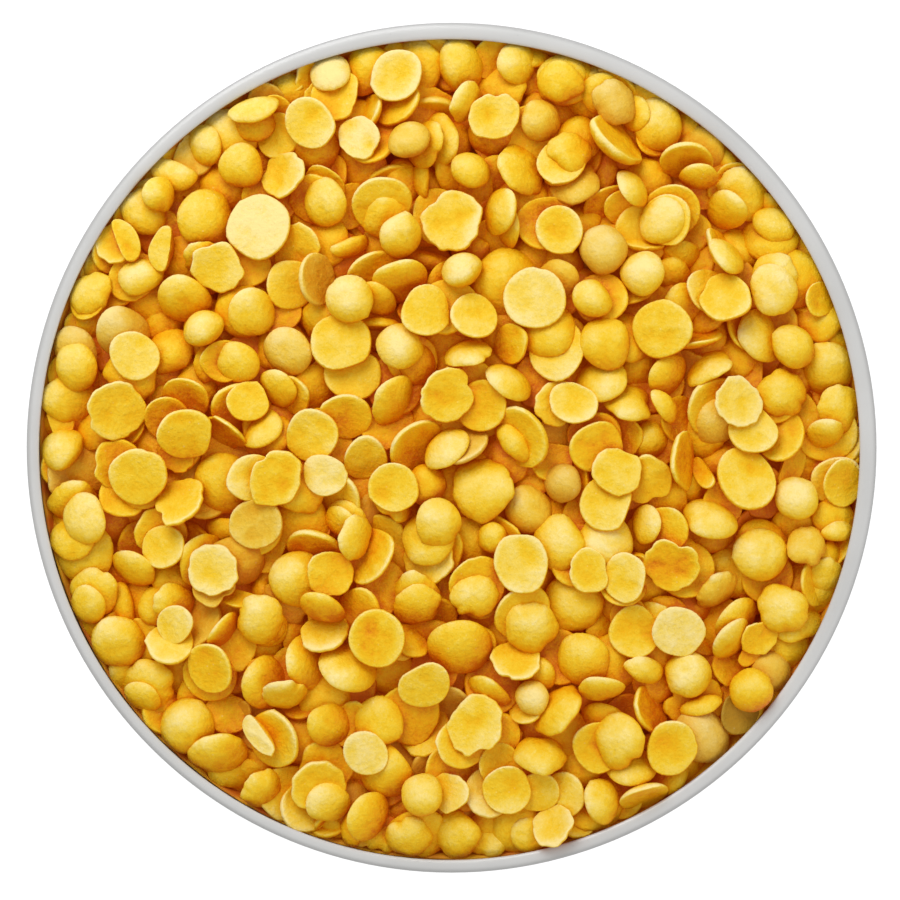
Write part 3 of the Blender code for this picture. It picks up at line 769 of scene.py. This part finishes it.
def floor_finish():
    """White paper, lit from behind as on a product table, so that the dish's shadow on it is faint."""
    finish = Finish("white paper", roughness=0.9, emission_strength=PAPER_GLOW, specular_ior_level=0.0)
    fibre = finish.noise(1.5 * MM, 3.0)
    finish.set("Base Color", finish.ramp(fibre, [(0.3, PAPER), (0.7, PAPER_FIBRE)]))
    finish.shader.inputs["Emission Color"].default_value = (1, 1, 1, 1)
    return finish.material


# Pieces

def bowl_curve(inset):
    """Points up the bowl's side, from foot to roll: a quarter of a superellipse, moved in by the inset."""
    turn = np.linspace(0, math.pi / 2, BOWL_STEPS)
    radius = FOOT_RADIUS + (WALL_RADIUS - FOOT_RADIUS) * np.sin(turn) ** (2 / BOWL_POWER)
    z = WALL_TOP * (1 - np.cos(turn) ** (2 / BOWL_POWER))
    run, rise = np.gradient(radius), np.gradient(z)
    length = np.hypot(run, rise)
    curve = np.stack([radius - inset * rise / length, z + inset * run / length], 1)
    return curve[curve[:, 1] < WALL_TOP - UNDER_ROLL]


def dish_section(angle):
    """The dish's section at an angle: out under the foot, up outside, over the roll and down the inside."""
    half = lip_half_width(angle)
    turn = np.linspace(LIP_STARTS, LIP_ENDS, LIP_STEPS)
    lip = np.stack([RIM_RADIUS - half + half * np.cos(turn),
                    RIM_HEIGHT - LIP_HALF_HEIGHT + LIP_HALF_HEIGHT * np.sin(turn)], 1)
    return np.concatenate([[(0, 0)], bowl_curve(0), [(WALL_RADIUS, WALL_TOP)], lip,
                           [(WALL_RADIUS - WALL, WALL_TOP)], bowl_curve(WALL)[::-1], [(0, WALL)]])


def rim_edge(radius, height):
    """1 on the outermost part of the rim, painted darker as shade where its shoulder turns away from the
    light, and 0 away from it.
    """
    return ((radius - RIM_RADIUS) / RIM_EDGE + 1).clip(0, 1) * (height > WALL_TOP)


def dish():
    """The dish, one turned shell with its rim rolled over."""
    sections = [dish_section(2 * math.pi * k / TURN_STEPS) for k in range(TURN_STEPS)]
    return revolved("dish_shell", sections, "dish", enamel_finish(), [("rim_edge", rim_edge)])


def core():
    """The heap under the lentils that show, lumpy on top."""
    rng = np.random.default_rng(LOOK_SEED)
    side = bowl_curve(WALL + GAP)
    side = side[side[:, 1] < EDGE_LEVEL - CORE_DEPTH]
    edge = REACH - np.linspace(*CORE_EDGE, CORE_EDGE_RINGS) * MM
    out = np.concatenate([edge, np.linspace(REACH - CORE_INNER, MM, CORE_INNER_RINGS)])
    sections = []
    for _ in range(CORE_SIDES):
        top = core_top(out) + rng.normal(0, CORE_ROUGH, len(out))
        sections.append(np.concatenate([[(0, side[0, 1])], side, np.stack([out, top], 1),
                                        [(0, level(0.0) - CORE_DEPTH)]]))
    return revolved("lentil_core", sections, "lentils", core_finish())


# Its result is painted into the lentils' colour as shade: less sky seen, darker and deeper orange.
def openness(ground, points):
    """How much of the sky each point sees over the heap, from 0 to 1.

    It is the mean over some directions of 1 less the sine of the horizon's angle there."""
    seen = np.zeros(points.shape[:-1])
    last = len(ground.axis) - 1
    for way in np.arange(SKY_WAYS) * 2 * math.pi / SKY_WAYS:
        slope = np.zeros(points.shape[:-1])
        for away in SKY_STEPS:
            x, y = points[..., 0] + away * math.cos(way), points[..., 1] + away * math.sin(way)
            cols = np.rint(x / CELL).astype(int) + ground.half
            rows = np.rint(y / CELL).astype(int) + ground.half
            height = ground.top[rows.clip(0, last), cols.clip(0, last)]
            slope = np.maximum(slope, (height - points[..., 2]) / away)
        seen += 1 - slope / np.sqrt(1 + slope**2)
    return seen / SKY_WAYS


def clear_of_dish(points):
    """The points, with those moved away that a nub or a wave of an edge would bring too near to the dish.

    They move in from the wall and the roll, down from under the roll, and down to the solid's height."""
    radius, angle = np.hypot(points[..., 0], points[..., 1]), np.arctan2(points[..., 1], points[..., 0])
    over_roll = points[..., 2] > RIM_HEIGHT - LIP_HALF_HEIGHT
    inside_roll = RIM_RADIUS - 2 * lip_half_width(angle) - GAP
    kept = np.minimum(radius, np.where(over_roll, inside_roll, REACH))
    z = np.minimum(points[..., 2], np.where(over_roll, HEAP_HEIGHT, ceiling(kept - NEARLY, angle)))
    return np.stack([kept * np.cos(angle), kept * np.sin(angle), z], -1)


def lentils(name, chosen, heap, looks, grid, material):
    """One piece of many lentils, with what their finish reads: tint, paleness, tan, edge, seam, and painted
    light from openness to the sky and facing the light.
    """
    kind, size, seam, middles, turns, ground = heap
    rings, sides = grid
    rng = np.random.default_rng([LOOK_SEED, len(chosen), sides])
    whole, broken, ragged = kind[chosen] == WHOLE, kind[chosen] == BROKEN, looks["ragged"][chosen]
    points, (edge, on_seam) = lentil_points(
        rng, size[chosen], seam[chosen], whole, ragged, broken, middles[chosen], turns[chosen], rings, sides)
    points = clear_of_dish(points)
    count, each = points.shape[:2]
    quads, fans = closed_grid_faces(rings, sides)
    spread = [(label, np.repeat(looks[label][chosen], each)) for label in ("tint", "pale", "tan")]
    spread += [("edge", edge.ravel()), ("seam", (on_seam * ~whole[:, None]).ravel())]
    faces = many(quads, fans, count, each)
    piece = add_piece(name, points.reshape(-1, 3), faces, "lentils", material, spread)
    normals = np.empty(3 * count * each, np.float32)
    piece.data.vertex_normals.foreach_get("vector", normals)
    # painted light and shade: openness to the sky times facing toward the key light's way, stored as 'open'
    toward = normals.reshape(-1, 3) @ PAINTED_LIGHT_WAY / np.linalg.norm(PAINTED_LIGHT_WAY)
    facing = (0.5 + 0.5 * toward).clip(0) ** FACING_POWER
    light = openness(ground, points.reshape(-1, 3)) * (LEAST_FACING + FACING * facing)
    piece.data.attributes.new("open", "FLOAT", "POINT").data.foreach_set("value", light.astype(np.float32))
    return piece


def heap_of_lentils():
    """Every lentil, in a piece for each kind: split by the side that shows, ragged, whole, broken, hidden."""
    *laid, ground = lay_lentils()
    kind, size, seam, middles, turns = (np.concatenate(pair) for pair in zip(laid, lay_fillers(ground)))
    heap = kind, size, seam, middles, turns, ground
    count = len(kind)
    rng = np.random.default_rng(LOOK_SEED)
    looks = {
        "tint": rng.beta(*TINT_DRAW, count),
        "pale": rng.beta(*PALE_DRAW, count),
        "tan": np.where(rng.random(count) < TAN_SHARE, rng.uniform(*TAN_DRAW, count), 0.0),
        "ragged": (rng.random(count) < RAGGED_SHARE) & (kind == SPLIT),
    }
    area = np.bincount(ground.owner[ground.owner >= 0], minlength=count) * CELL**2
    seen = area > LEAST_SEEN
    for spot, look in NOTED:
        x, y = (spot[0] - RIM_MIDDLE[0]) * PIXEL, (RIM_MIDDLE[1] - spot[1]) * PIXEL
        away = np.hypot(middles[:, 0] - x, middles[:, 1] - y) + (area < NOTED_LEAST_SEEN)
        for label, value in look.items():
            looks[label][np.argmin(away)] = value
    domed = turns[:, 2, 2] > 0
    smooth = (kind == SPLIT) & ~looks["ragged"]
    skin = lentil_finish()
    lentils("split_dome_up", np.flatnonzero(seen & smooth & domed), heap, looks, SMOOTH_GRID, skin)
    lentils("split_seam_up", np.flatnonzero(seen & smooth & ~domed), heap, looks, SMOOTH_GRID, skin)
    lentils("ragged_lentils", np.flatnonzero(seen & looks["ragged"]), heap, looks, RAGGED_GRID, skin)
    lentils("whole_lentils", np.flatnonzero(seen & (kind == WHOLE)), heap, looks, SMOOTH_GRID, skin)
    lentils("broken_lentils", np.flatnonzero(seen & (kind == BROKEN)), heap, looks, BROKEN_GRID, skin)
    lentils("lentils_beneath", np.flatnonzero(~seen), heap, looks, HIDDEN_GRID, skin)


# Stage, lights and camera

def aim(thing, target):
    """Turns a lamp or camera so that it looks at a point."""
    thing.rotation_euler = (Vector(target) - thing.location).to_track_quat("-Z", "Y").to_euler()


def softbox(name, place, target, width, power):
    """A square area lamp."""
    lamp = bpy.data.lights.new(name, "AREA")
    lamp.size, lamp.energy = width, power
    thing = bpy.data.objects.new(name, lamp)
    thing.location = place
    bpy.context.scene.collection.objects.link(thing)
    aim(thing, target)


def stage():
    """A white floor, a soft light from the photograph's upper left, a weak one and a white surround."""
    mesh = bpy.data.meshes.new("floor")
    corners = [(x * FLOOR_HALF, y * FLOOR_HALF, 0) for x, y in ((-1, -1), (1, -1), (1, 1), (-1, 1))]
    mesh.from_pydata(corners, [], [(0, 1, 2, 3)])
    mesh.materials.append(floor_finish())
    floor = bpy.data.objects.new("floor", mesh)
    bpy.context.scene.collection.objects.link(floor)
    softbox("key", KEY_PLACE, LIT_PLACE, KEY_WIDTH, KEY_POWER)
    softbox("side", SIDE_PLACE, LIT_PLACE, SIDE_WIDTH, SIDE_POWER)
    world = bpy.data.worlds.new("surround")
    world.use_nodes = True
    background = world.node_tree.nodes["Background"]
    background.inputs["Color"].default_value = SURROUND
    background.inputs["Strength"].default_value = SURROUND_STRENGTH
    bpy.context.scene.world = world
    bpy.context.scene.view_settings.view_transform = "Standard"


def camera():
    """Looks straight down, at the height where the rim fills as much of the picture as in the photograph."""
    data = bpy.data.cameras.new("camera")
    data.lens, data.sensor_width = LENS, SENSOR
    data.clip_start = NEAREST_SEEN
    thing = bpy.data.objects.new("camera", data)
    bpy.context.scene.collection.objects.link(thing)
    widest = RIM_HEIGHT - LIP_HALF_HEIGHT
    off_x, off_y = (RIM_MIDDLE[0] - IMAGE / 2) * PIXEL, (IMAGE / 2 - RIM_MIDDLE[1]) * PIXEL
    thing.location = (-off_x, -off_y, widest + IMAGE * PIXEL * LENS / SENSOR)
    bpy.context.scene.camera = thing


dish()
core()
heap_of_lentils()
stage()
camera()

bpy.context.view_layer.update()
